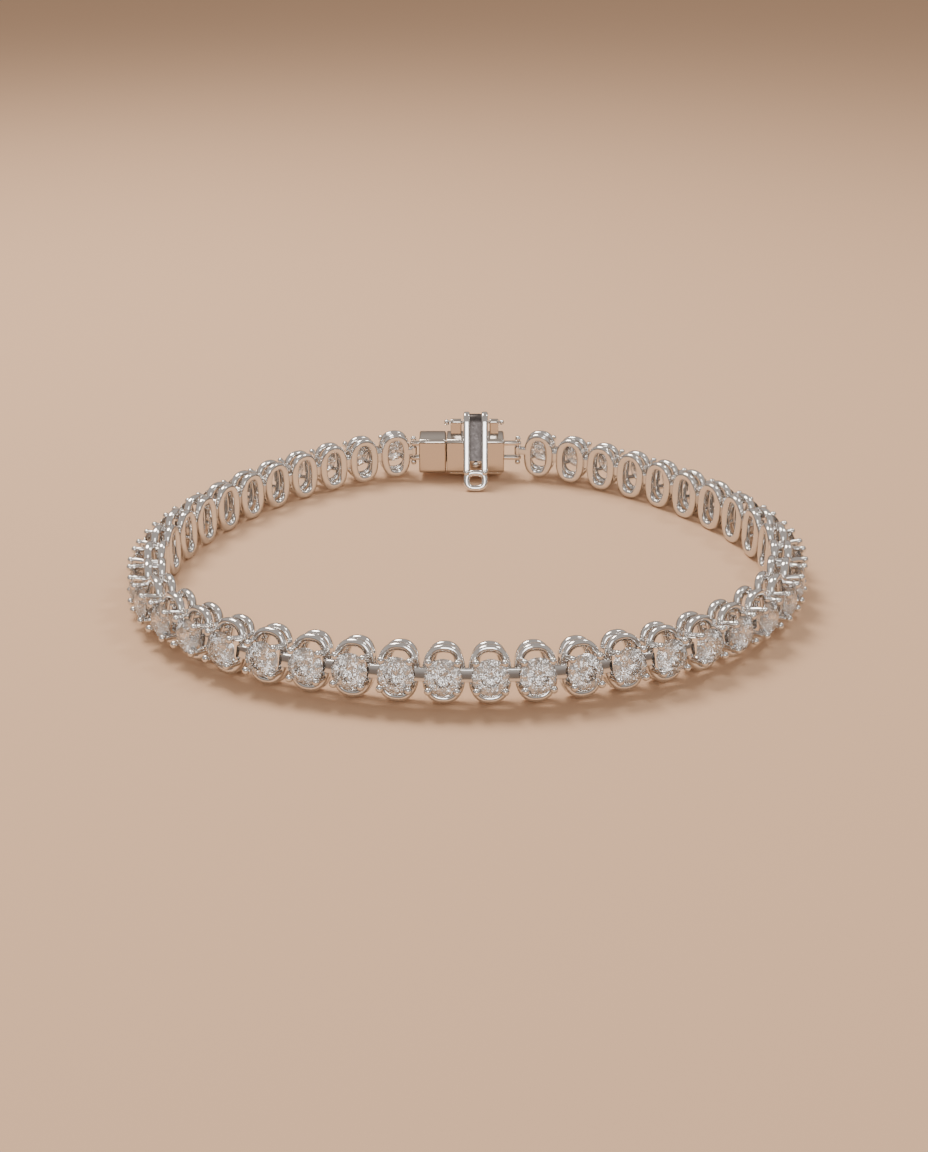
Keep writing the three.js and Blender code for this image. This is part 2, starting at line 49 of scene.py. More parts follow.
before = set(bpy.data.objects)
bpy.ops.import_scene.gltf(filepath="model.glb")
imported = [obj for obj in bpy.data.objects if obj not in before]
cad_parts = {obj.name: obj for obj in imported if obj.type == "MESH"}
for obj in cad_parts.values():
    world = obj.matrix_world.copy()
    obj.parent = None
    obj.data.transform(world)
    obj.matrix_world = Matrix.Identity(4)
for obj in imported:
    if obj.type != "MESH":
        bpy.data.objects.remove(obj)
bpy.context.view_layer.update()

MM = 0.001
STONES = sorted(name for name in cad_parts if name.startswith("stone_"))

# Small measures in millimetres that several pieces share
ROOT = 0.3  # how far a joined piece runs into the one that carries it
PIN_ROOM = 0.1  # room round a pin in its bore
SMALL_EDGE = 0.12  # radius of the edges of lugs, bars and the box's mouth


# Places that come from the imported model

def corners_of(node):
    """The node's corners in millimetres."""
    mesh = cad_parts[node].data
    flat = np.empty(len(mesh.vertices) * 3, np.float32)
    mesh.vertices.foreach_get("co", flat)
    return flat.reshape(-1, 3).astype(float) / MM


def box_of(node):
    """The node's lowest and highest corner in millimetres."""
    low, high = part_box(node)
    return np.array(low) / MM, np.array(high) / MM


def link_frames(seat_height):
    """Each link's place, from its stone: rows of origin, x, y and z.

    The stone's axis runs from its culet to the middle of its table. It is first taken as the
    direction in which the corners spread least. The culet is the corner furthest along it.
    """
    places = []
    for name in STONES:
        corners = np.unique(np.round(corners_of(name), 3), axis=0)
        spread = corners - corners.mean(axis=0)
        axis = np.linalg.eigh(spread.T @ spread)[1][:, 0]
        along = spread @ axis
        if along.max() > -along.min():
            axis, along = -axis, -along
        culet = corners[along.argmin()]
        table = corners[along > along.max() - 0.02].mean(axis=0)
        out = (table - culet) / np.linalg.norm(table - culet)
        reach = (corners - culet) @ out
        from_axis = np.linalg.norm(corners - culet - reach[:, None] * out, axis=1)
        girdle = reach[from_axis > 0.97 * from_axis.max()].min()
        chain = np.cross(out, (0.0, 0.0, 1.0))
        chain /= np.linalg.norm(chain)
        up = np.cross(chain, out)
        origin = culet + (girdle - seat_height) * out
        places.append([origin, chain, out, up])
    return np.array(places)


def placed(points, places):
    """The same points set in every link's frame: origin + x*chain + y*out + z*up."""
    origins, axes = places[:, 0], places[:, 1:]
    return origins[:, None, :] + np.einsum("pi,lij->lpj", points, axes)


# Surfaces

def grid_faces(rows, columns, wrap_rows, wrap_columns):
    """Quads between neighbouring rows and columns of a grid of points."""
    row, column = np.meshgrid(
        np.arange(rows if wrap_rows else rows - 1),
        np.arange(columns if wrap_columns else columns - 1),
        indexing="ij",
    )
    next_row = (row + 1) % rows
    next_column = (column + 1) % columns
    quads = [
        row * columns + column,
        row * columns + next_column,
        next_row * columns + next_column,
        next_row * columns + column,
    ]
    return np.stack(quads, axis=-1).reshape(-1, 4).tolist()


def tube(grid, closed=False):
    """A surface through rings of points, one ring a row. An open one has a flat face on each end."""
    rows, columns = grid.shape[:2]
    faces = grid_faces(rows, columns, closed, True)
    if not closed:
        faces.append(list(range(columns)))
        faces.append(list(range((rows - 1) * columns, rows * columns)))
    return grid.reshape(-1, 3), faces


def joined(pieces):
    """Several surfaces as one list of points and one of faces."""
    points, faces, count = [], [], 0
    for piece_points, piece_faces in pieces:
        points.append(piece_points)
        faces.extend([corner + count for corner in face] for face in piece_faces)
        count += len(piece_points)
    return np.vstack(points), faces


def repeated(piece, places):
    """One surface set in every link's frame, as one list of points and one of faces."""
    points, faces = piece
    copies = placed(points, places)
    step = len(points)
    every = [
        [corner + step * index for corner in face]
        for index in range(len(copies))
        for face in faces
    ]
    return copies.reshape(-1, 3), every


def evenly(points, count, closed):
    """Points equally far apart along a line, by its length."""
    line = np.vstack([points, points[:1]]) if closed else points
    steps = np.linalg.norm(np.diff(line, axis=0), axis=1)
    length = np.concatenate([[0.0], np.cumsum(steps)])
    at = np.linspace(0.0, length[-1], count, endpoint=not closed)
    return np.column_stack([np.interp(at, length, line[:, axis]) for axis in range(line.shape[1])])


def superellipse(half_width, half_height, power, count):
    """The curve |a/half_width|^power + |b/half_height|^power = 1, counterclockwise."""
    turn = np.linspace(0.0, 2 * np.pi, 1440, endpoint=False)
    across, up = np.cos(turn), np.sin(turn)
    curve = np.column_stack([
        half_width * np.sign(across) * np.abs(across) ** (2 / power),
        half_height * np.sign(up) * np.abs(up) ** (2 / power),
    ])
    return evenly(curve, count, True)


def rounded_rectangle(half_width, half_height, radius, steps=6):
    """A rectangle with round corners, counterclockwise: each corner is a quarter circle."""
    quarter = np.linspace(0.0, np.pi / 2, steps + 1)
    centres = [(1, 1), (-1, 1), (-1, -1), (1, -1)]
    arcs = [
        np.column_stack([
            side * (half_width - radius) + radius * np.cos(quarter + index * np.pi / 2),
            top * (half_height - radius) + radius * np.sin(quarter + index * np.pi / 2),
        ])
        for index, (side, top) in enumerate(centres)
    ]
    return np.vstack(arcs)


def smooth_line(points, count):
    """A Catmull-Rom curve through the points: each piece is a cubic set by its four nearest points."""
    points = np.array(points, float)
    ends = np.vstack([2 * points[0] - points[1], points, 2 * points[-1] - points[-2]])
    at = np.linspace(0, len(points) - 1 - 1e-9, 60 * len(points))
    piece = at.astype(int)
    t = (at - piece)[:, None]
    a, b, c, d = ends[piece], ends[piece + 1], ends[piece + 2], ends[piece + 3]
    square = 2 * a - 5 * b + 4 * c - d
    cube = 3 * b - a - 3 * c + d
    curve = 0.5 * (2 * b + (c - a) * t + square * t**2 + cube * t**3)
    return evenly(curve, count, False)


def ring(centreline, section, depth):
    """A section carried round a closed line in the x, z plane: point = line + normal * across."""
    along = np.roll(centreline, -1, axis=0) - np.roll(centreline, 1, axis=0)
    along /= np.linalg.norm(along, axis=1, keepdims=True)
    outward = np.column_stack([along[:, 1], -along[:, 0]])
    grid = np.empty((len(centreline), len(section), 3))
    grid[..., [0, 2]] = centreline[:, None] + outward[:, None] * section[None, :, :1]
    grid[..., 1] = depth + section[:, 1]
    return tube(grid, closed=True)


def swept(line, section, side, sizes=None):
    """A section carried along an open line: point = line + across * a + (along x across) * b."""
    line = np.array(line, float)
    sizes = np.ones(len(line)) if sizes is None else np.array(sizes)
    along = np.gradient(line, axis=0)
    along /= np.linalg.norm(along, axis=1, keepdims=True)
    third = np.cross(along, np.broadcast_to(side, along.shape))
    third /= np.linalg.norm(third, axis=1, keepdims=True)
    across = np.cross(third, along)
    grid = (
        line[:, None]
        + across[:, None] * section[None, :, :1] * sizes[:, None, None]
        + third[:, None] * section[None, :, 1:] * sizes[:, None, None]
    )
    return tube(grid)


def turned(profile, centre, axis, count=32):
    """A profile of (radius, height) turned round an axis through the centre, closed on itself."""
    turn = np.linspace(0.0, 2 * np.pi, count, endpoint=False)
    profile = np.array(profile, float)
    radius, height = profile[:, 0], profile[:, 1]
    first, second = [(1, 2), (2, 0), (0, 1)][axis]
    grid = np.empty((len(profile), count, 3))
    grid[..., axis] = centre[axis] + height[:, None]
    grid[..., first] = centre[first] + radius[:, None] * np.cos(turn)
    grid[..., second] = centre[second] + radius[:, None] * np.sin(turn)
    return grid


def pin(radius, low, high, centre, axis, dome=0.0, count=28):
    """A pin with domed ends: its radius falls to a point along a quarter ellipse."""
    bend = np.linspace(0.0, np.pi / 2, 8)[:-1]
    dome = dome or 0.25 * radius
    foot = np.column_stack([radius * np.sin(bend + 0.05), low + dome * (1 - np.cos(bend))])
    head = np.column_stack([radius * np.cos(bend), high - dome + dome * np.sin(bend)])
    place = np.array(centre, float)
    place[axis] = 0.0
    return tube(turned(np.vstack([foot, head]), place, axis, count))


def ball(radius, centre, count=20):
    """A sphere: circles of radius sin(t), cos(t) away from the middle."""
    t = np.linspace(0.04, np.pi - 0.04, 12)
    return tube(turned(np.column_stack([radius * np.sin(t), -radius * np.cos(t)]), centre, 2, count))


def bushing(inner, outer, low, high, centre, axis, edge=0.08):
    """A short pipe with rounded edges: a rounded rectangle turned round the pin's axis."""
    section = rounded_rectangle((outer - inner) / 2, (high - low) / 2, edge, 3)
    section += ((outer + inner) / 2, (low + high) / 2)
    place = np.array(centre, float)
    place[axis] = 0.0
    return tube(turned(section, place, axis), closed=True)


def inset(outline, distance):
    """An outline moved inwards along its own normals."""
    along = np.roll(outline, -1, axis=0) - np.roll(outline, 1, axis=0)
    along /= np.maximum(np.linalg.norm(along, axis=1, keepdims=True), 1e-9)
    return outline - distance * np.column_stack([along[:, 1], -along[:, 0]])


def slab(outline, low, high, axis, edge):
    """An outline extruded along an axis, with its two edges rounded by a quarter circle."""
    bend = np.linspace(0.0, np.pi / 2, 5)
    near = [(low + edge * (1 - math.sin(angle)), edge * (1 - math.cos(angle))) for angle in bend[::-1]]
    far = [(high - edge * (1 - math.sin(angle)), edge * (1 - math.cos(angle))) for angle in bend]
    first, second = [(1, 2), (2, 0), (0, 1)][axis]
    grid = np.empty((len(near) + len(far), len(outline), 3))
    for row, (height, step) in enumerate(near + far):
        flat = inset(outline, step)
        grid[row, :, axis] = height
        grid[row, :, first] = flat[:, 0]
        grid[row, :, second] = flat[:, 1]
    return tube(grid)


def add_piece(name, piece, material, body, nodes, smooth_angle=40.0):
    """A mesh from a piece in millimetres, which rides on a body and stands for its nodes."""
    points, faces = piece
    mesh = bpy.data.meshes.new(name)
    mesh.from_pydata((points * MM).tolist(), [], faces)
    shape = bmesh.new()
    shape.from_mesh(mesh)
    bmesh.ops.recalc_face_normals(shape, faces=shape.faces)
    shape.to_mesh(mesh)
    shape.free()
    if smooth_angle:
        mesh.shade_smooth()
        mesh.set_sharp_from_angle(angle=math.radians(smooth_angle))
    mesh.materials.append(material)
    thing = bpy.data.objects.new(name, mesh)
    bpy.context.scene.collection.objects.link(thing)
    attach(thing, body)
    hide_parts(*nodes)
    return thing


# Finishes

def colour(code):
    """An sRGB hex value as linear red, green, blue and alpha."""
    parts = [int(code.lstrip("#")[i:i + 2], 16) / 255 for i in (0, 2, 4)]
    linear = [part / 12.92 if part <= 0.04045 else ((part + 0.055) / 1.055) ** 2.4 for part in parts]
    return (*linear, 1.0)


def add_node(tree, kind, settings=None, inputs=None):
    """A node with its settings. An input is a value, or another node's output to link from."""
    made = tree.nodes.new(kind)
    for name, value in (settings or {}).items():
        setattr(made, name, value)
    for socket, value in (inputs or {}).items():
        if isinstance(value, bpy.types.NodeSocket):
            tree.links.new(value, made.inputs[socket])
        else:
            made.inputs[socket].default_value = value
    return made


def vector_math(tree, operation, inputs):
    """What a vector maths node gives."""
    return add_node(tree, "ShaderNodeVectorMath", {"operation": operation}, inputs).outputs["Vector"]


def new_material(name):
    """An empty material and its tree."""
    material = bpy.data.materials.new(name)
    material.use_nodes = True
    material.node_tree.nodes.clear()
    return material, material.node_tree


def white_gold(name, code, low, high, grain_mm):
    """White gold, rhodium plated: nearly neutral reflections, softened a little where the wheel or
    the brush left a haze. The roughness runs from low to high."""
    material, tree = new_material(name)
    place = add_node(tree, "ShaderNodeTexCoord")
    haze = add_node(
        tree, "ShaderNodeTexNoise", None,
        {"Vector": place.outputs["Object"], "Scale": 1 / (grain_mm * MM), "Detail": 3.0,
         "Roughness": 0.6},
    )
    gloss = add_node(
        tree, "ShaderNodeMapRange", None,
        {"Value": haze.outputs["Fac"], "From Min": 0.3, "From Max": 0.7, "To Min": low, "To Max": high},
    )
    ripple = add_node(
        tree, "ShaderNodeBump", None,
        {"Height": haze.outputs["Fac"], "Strength": 0.06, "Distance": 0.02 * MM},
    )
    metal = add_node(
        tree, "ShaderNodeBsdfPrincipled", None,
        {"Base Color": colour(code), "Metallic": 1.0, "Roughness": gloss.outputs["Result"],
         "Normal": ripple.outputs["Normal"]},
    )
    add_node(tree, "ShaderNodeOutputMaterial", None, {"Surface": metal.outputs["BSDF"]})
    return material


def cut_diamond(name, grain_mm, tilt):
    """Colourless diamond, cut and polished: a very high index bends the light back out of the top,
    so that the stone shows bright and dark patches and little of what is behind it. The small
    flashes of a real cut's many inner reflections come from cells, each with a normal of its own:
    normal + (cell's random vector - 0.5) * tilt."""
    material, tree = new_material(name)
    place = add_node(tree, "ShaderNodeTexCoord")
    surface = add_node(tree, "ShaderNodeNewGeometry")
    cells = add_node(
        tree, "ShaderNodeTexVoronoi", None,
        {"Vector": place.outputs["Object"], "Scale": 1 / (grain_mm * MM)},
    )
    centred = vector_math(tree, "SUBTRACT", {0: cells.outputs["Color"], 1: (0.5, 0.5, 0.5)})
    lean = vector_math(tree, "SCALE", {0: centred, "Scale": tilt})
    total = vector_math(tree, "ADD", {0: surface.outputs["Normal"], 1: lean})
    normal = vector_math(tree, "NORMALIZE", {0: total})
    gem = add_node(
        tree, "ShaderNodeBsdfPrincipled", None,
        {"Base Color": (1.0, 1.0, 1.0, 1.0), "Roughness": 0.0, "IOR": 2.417, "Transmission Weight": 1.0,
         "Normal": normal},
    )
    add_node(tree, "ShaderNodeOutputMaterial", None, {"Surface": gem.outputs["BSDF"]})
    return material


def pale_paper(name, code):
    """Matt paper, pale and warm, with a faint tooth."""
    material, tree = new_material(name)
    place = add_node(tree, "ShaderNodeTexCoord")
    tooth = add_node(
        tree, "ShaderNodeTexNoise", None,
        {"Vector": place.outputs["Object"], "Scale": 1 / (1.2 * MM), "Detail": 4.0},
    )
    relief = add_node(
        tree, "ShaderNodeBump", None,
        {"Height": tooth.outputs["Fac"], "Strength": 0.12, "Distance": 0.1 * MM},
    )
    sheet = add_node(
        tree, "ShaderNodeBsdfPrincipled", None,
        {"Base Color": colour(code), "Roughness": 0.9, "Specular IOR Level": 0.2,
         "Normal": relief.outputs["Normal"]},
    )
    add_node(tree, "ShaderNodeOutputMaterial", None, {"Surface": sheet.outputs["BSDF"]})
    return material


def finish(name, make, **values):
    """A material by name, made once."""
    return bpy.data.materials.get(name) or make(name, **values)


# Each gold by its setting: name, least and most roughness, and width of the haze in millimetres
GOLDS = {
    "link_gold": ("polished_white_gold_links", 0.05, 0.12, 0.5),
    "clasp_gold": ("polished_white_gold_clasp", 0.08, 0.16, 0.8),
    # The web's gold is set dark grey as painted shade for the recess between the latch's legs. Its
    # higher roughness is the brushed finish.
    "web_gold_painted_shade": ("brushed_white_gold_web_painted_shade", 0.25, 0.4, 0.3),
}


def gold(setting):
    """One of the golds, in the colour that is set for it."""
    name, low, high, grain_mm = GOLDS[setting]
    code = getattr(bpy.context.scene.bracelet_finish, setting)
    return finish(name, white_gold, code=code, low=low, high=high, grain_mm=grain_mm)


# Settings

def millimetres(name, description, value, low=0.0):
    return FloatProperty(
        name=name, description=description + ", in millimetres",
        default=value, min=low, max=400.0, precision=3,
    )


def degrees(name, description, value):
    value = math.radians(value)
    return FloatProperty(name=name, description=description, default=value, subtype="ANGLE")


def hex_colour(name, description, code):
    return StringProperty(name=name, description=description + ", as sRGB hex", default=code)


class LinkSettings(bpy.types.PropertyGroup):
    back_width: millimetres("Back ring width", "Outer width of the ring by the skin", 3.5)
    back_height: millimetres("Back ring height", "Outer height of the ring by the skin", 5.4)
    front_width: millimetres("Front ring width", "Outer width of the ring under the stone", 3.78)
    front_height: millimetres("Front ring height", "Outer height of the ring under the stone", 5.2)
    back_wire: millimetres("Back wire width", "Width of the back ring's band", 0.9)
    front_wire: millimetres("Front wire width", "Width of the front ring's band", 0.74)
    wire_depth: millimetres("Wire depth", "Depth of the rings' wire, along the stone's axis", 0.82)
    ring_spacing: millimetres("Ring spacing", "From one ring's middle to the other's", 1.35)
    squareness: FloatProperty(
        name="Squareness", description="Power of the rings' outline, 2 for an ellipse",
        default=2.5, min=2.0, max=6.0,
    )
    seat_height: millimetres("Seat height", "From the middle of the back ring to the girdle", 2.6)
    stone_rise: millimetres("Stone rise", "Height of the stone above the rings' middle", -0.1, low=-1.0)
    prong_thickness: millimetres("Prong thickness", "Thickness of a prong below its bead", 0.56)
    bead: millimetres("Prong bead", "Diameter of the bead at a prong's tip", 0.74)
    bead_across: millimetres("Bead spacing across", "From the stone's axis to a bead, sideways", 1.24)
    bead_up: millimetres("Bead spacing up", "From the stone's axis to a bead, up or down", 1.24)
    bar_height: millimetres("Bar height", "Height of the bar between two links", 1.2)
    bar_depth: millimetres("Bar depth", "Depth of the bar between two links", 2.2)
    bar_middle: millimetres("Bar position", "From the back ring's middle to the bar's", 1.12)


class StoneSettings(bpy.types.PropertyGroup):
    across: millimetres("Stone diameter", "Diameter of a stone at its girdle", 3.24)
    table: FloatProperty(
        name="Table", description="Table width as a share of the diameter",
        default=0.56, min=0.4, max=0.75,
    )
    crown_angle: degrees("Crown angle", "Slope of the crown's main facets", 34.5)
    pavilion_angle: degrees("Pavilion angle", "Slope of the pavilion's main facets", 40.8)
    girdle: millimetres("Girdle", "Thickness of the girdle at its thinnest", 0.07)


class ClaspSettings(bpy.types.PropertyGroup):
    box_length: millimetres("Box length", "Length of the box along the bracelet", 6.8)
    box_depth: millimetres("Box depth", "Depth of the box, in and out of the loop", 3.5)
    box_height: millimetres("Box height", "Height of the box", 4.3)
    box_corner: millimetres("Box corner", "Radius of the box's long edges", 0.5)
    box_edge: millimetres("Box edge", "Radius of the box's end edges", 0.25)
    box_wall: millimetres("Box wall", "Thickness of the box's walls", 0.5)
    tongue_gap: millimetres("Tongue gap", "Gap between the tongue's block and the box", 0.08)
    block_length: millimetres("Block length", "Length of the tongue's block", 3.22)
    tongue_length: millimetres("Tongue length", "How far the tongue reaches past its block", 5.0)
    tongue_height: millimetres("Tongue height", "Height of the tongue", 2.4)
    tongue_thickness: millimetres("Tongue thickness", "Thickness of the tongue", 0.6)
    hinge_rise: millimetres("Hinge rise", "Height of the hinge pin above the box", 1.55)
    hinge_inset: millimetres("Hinge inset", "From the hinge pin to the box's outer face", 1.7)
    barrel: millimetres("Barrel", "Diameter of the hinge barrels on the box", 0.88)
    hinge_pin: millimetres("Hinge pin", "Diameter of the hinge pin", 0.34)
    hinge_ball: millimetres("Hinge ball", "Diameter of the pin's left ball", 0.7)
    hinge_head: millimetres("Hinge head", "Diameter of the pin's right ball", 0.6)
    lug_thickness: millimetres("Lug thickness", "Thickness of the end pins' lugs", 0.4)
    lug_width: millimetres("Lug width", "Width of the lugs and eyes", 0.8)
    eye_height: millimetres("Eye height", "Height of the eye at a chain's end", 1.0)
    eye_rise: millimetres("Eye rise", "From the end ring's middle to the eye's", 0.45)
    lug_clearance: millimetres("Lug clearance", "Gap between a lug and the eye", 0.2)
    end_pin: millimetres("End pin", "Diameter of the end pins", 0.34)
    end_pin_head: millimetres("End pin head", "Diameter of an end pin's balls", 0.66)
    right_end_bar: millimetres("Right end bar", "From the right end ring to its eye", 0.85)
    left_end_bar: millimetres("Left end bar", "From the left end ring to its eye", 0.5)


class LatchSettings(bpy.types.PropertyGroup):
    width: millimetres("Latch width", "Width over both legs", 2.9)
    slant: degrees("Slant", "How far the legs slant from upright", 26.0)
    leg_width: millimetres("Leg width", "Width of a leg", 0.8)
    leg_thickness: millimetres("Leg thickness", "Thickness of a leg", 0.6)
    clearance: millimetres("Latch clearance", "From the legs to the box's inner top edge", 0.5)
    bow_rise: millimetres("Bow rise", "Height of the legs' bow above the hinge pin", 1.25)
    web: millimetres("Web", "Thickness of the web between the legs", 0.3)
    web_recess: millimetres("Web recess", "How far the web lies behind the legs' face", 0.25)
    window: millimetres("Keeper window", "From the web's end to the foot", 1.0)
    knuckle: millimetres("Knuckle", "Diameter of the latch's knuckle", 1.2)
    foot_length: millimetres("Foot length", "Length of the small loop at the foot", 2.58)
    foot_wire: millimetres("Foot wire", "Width of the small loop's wire", 0.78)
    waist_bead: millimetres("Waist bead", "Diameter of the beads above the foot", 0.7)
    keeper: millimetres("Keeper", "Diameter of the keeper's ball", 0.7)
    keeper_stalk: millimetres("Keeper stalk", "Diameter of the keeper's stalk", 0.44)


class FinishSettings(bpy.types.PropertyGroup):
    link_gold: hex_colour("Link gold", "Colour of the links", "#E4E3E2")
    clasp_gold: hex_colour("Clasp gold", "Colour of the clasp", "#D2CAC2")
    # The web's dark grey is painted shade, for the shaded recess between the latch's legs.
    web_gold_painted_shade: hex_colour("Web gold", "Colour of the latch's brushed web", "#5C5756")
    paper: hex_colour("Paper", "Colour of the floor", "#DCB695")


class StageSettings(bpy.types.PropertyGroup):
    camera_back: millimetres("Camera distance", "How far in front of the bracelet it stands", 135.45)
    camera_height: millimetres("Camera height", "Height of the camera above the floor", 66.73)
    camera_side: millimetres("Camera side", "How far the camera stands to the right", -0.51, low=-400.0)
    camera_pitch: degrees("Camera pitch", "How far the camera looks down", 26.35)
    camera_view: degrees("Camera view", "Height of the camera's view, as an angle", 43.24)


# Links

RING_STEPS = 56  # points round a ring
WIRE_STEPS = 16  # points round its wire
WIRE_POWER = 2.6  # the wire's section, a little squarer than an ellipse
PRONG_ACROSS = 0.385  # a prong's place in its rings, as a share of their outer width
PRONG_FOOT_UP = 0.2  # its place in the back ring, as a share of the ring's height
PRONG_WAIST_UP = 0.215  # its place in the front ring
BEAD_OUT = 0.42  # from the girdle to the middle of a bead
POST_STEPS = 9  # rings of points along a prong's post
CAP_STEPS = 7  # and over its bead


def wire_section(width, depth):
    """The wire's section, (across, deep), softly squared."""
    return superellipse(width / 2, depth / 2, WIRE_POWER, WIRE_STEPS)


def prong(side, top, links):
    """A post that starts in the back ring, passes through the front ring and ends in a bead.

    Its radius is that of the post up to the bead, and then sqrt(bead^2 - height^2) about the
    bead's middle.
    """
    radius = links.prong_thickness / 2
    bead = links.bead / 2
    rise = links.stone_rise * 0.5
    foot_up = top * PRONG_FOOT_UP * links.back_height
    waist_up = top * PRONG_WAIST_UP * links.front_height
    foot = np.array([side * PRONG_ACROSS * links.back_width, -0.1, foot_up])
    waist = np.array([side * PRONG_ACROSS * links.front_width, links.ring_spacing, waist_up])
    middle = links.seat_height + BEAD_OUT
    tip = np.array([side * links.bead_across, middle, top * links.bead_up + rise])
    neck = [tip - (0, bead * share, 0) for share in (1.6, 0.75)]
    post = smooth_line([foot, waist, *neck], POST_STEPS)
    angle = np.linspace(-0.75, math.pi / 2 - 0.08, CAP_STEPS)
    cap = tip + np.column_stack([np.zeros(CAP_STEPS), bead * np.sin(angle), np.zeros(CAP_STEPS)])
    line = np.vstack([post, cap])
    sizes = np.concatenate([np.full(POST_STEPS, radius), bead * np.cos(angle)])
    turn = np.linspace(0.0, 2 * np.pi, 12, endpoint=False)
    section = np.column_stack([np.cos(turn), np.sin(turn)])
    return swept(line, section, (1.0, 0.0, 0.0), sizes)


def link_piece(links):
    """One link: two rings and four prongs."""
    rings = []
    for width, height, wire, depth in (
        (links.back_width, links.back_height, links.back_wire, 0.0),
        (links.front_width, links.front_height, links.front_wire, links.ring_spacing),
    ):
        line = superellipse((width - wire) / 2, (height - wire) / 2, links.squareness, RING_STEPS)
        rings.append(ring(line, wire_section(wire, links.wire_depth), depth))
    prongs = [prong(side, top, links) for side in (-1, 1) for top in (-1, 1)]
    return joined(rings + prongs)


def bars(places, links):
    """The bars between neighbouring links: a rounded rectangle drawn from the right side of one
    link's ring to the left side of the next one's."""
    outline = rounded_rectangle(links.bar_depth / 2, links.bar_height / 2, SMALL_EDGE, 3)
    reach = np.full(len(outline), links.back_width / 2 - links.back_wire * 0.3)
    right = np.column_stack([reach, outline[:, 0] + links.bar_middle, outline[:, 1]])
    left = right * (-1, 1, 1)
    starts = placed(right, places)[:-1]
    ends = placed(left, places)[1:]
    pieces = [tube(np.stack([start, 0.5 * (start + end), end])) for start, end in zip(starts, ends)]
    return joined(pieces)


def end_eye(place, side, node, end_bar, links, clasp):
    """The eye at the end of a chain, round its end pin, and the bar that carries it."""
    low, high = box_of(node)
    centre = (low + high) / 2
    half = clasp.eye_height / 2
    bore = clasp.end_pin / 2 + PIN_ROOM
    eye = bushing(bore, clasp.lug_width / 2, centre[2] - half, centre[2] + half, centre, 2)
    outline = rounded_rectangle(links.wire_depth / 2, half * 0.8, 0.15, 3) + (0.0, clasp.eye_rise)
    start = links.back_width / 2 - links.back_wire * 0.6
    end = links.back_width / 2 + end_bar - bore - 0.02
    rows = [
        np.column_stack([np.full(len(outline), side * reach), outline[:, 0], outline[:, 1]])
        for reach in (start, end)
    ]
    bar = tube(placed(np.vstack(rows), place[None])[0].reshape(2, len(outline), 3))
    return joined([eye, bar])


class BRACELET_OT_links(bpy.types.Operator):
    """Makes the two halves of the chain: round wire links with prongs, and the bars between them"""

    bl_idname = "bracelet.links"
    bl_label = "Links"

    def execute(self, context):
        links = context.scene.bracelet_links
        clasp = context.scene.bracelet_clasp
        places = link_frames(links.seat_height)
        half = len(places) // 2
        link = link_piece(links)
        right_eye = end_eye(places[0], -1, "end_pin_right", clasp.right_end_bar, links, clasp)
        left_eye = end_eye(places[-1], 1, "end_pin_left", clasp.left_end_bar, links, clasp)
        halves = {
            "link_chain_right": (places[:half + 1], places[:half], right_eye),
            "link_chain_left": (places[half:], places[half:], left_eye),
        }
        for node, (with_next, own, eye) in halves.items():
            chain = joined([repeated(link, own), bars(with_next, links), eye])
            name = node.replace("link_chain", "chain_links")
            add_piece(name, chain, gold("link_gold"), "bracelet", [node])
        return {"FINISHED"}


# Stones

SPARKLE_GRAIN_MM = 0.12  # width of the cells that flash
SPARKLE_TILT = 0.2  # how far their normals lean
LOWER_HALVES = 0.24  # where the pavilion's girdle facets end, as a share of the radius
GIRDLE_STEPS = 32
MOST_TURN = 0.35  # radians by which a stone may be turned in its prongs


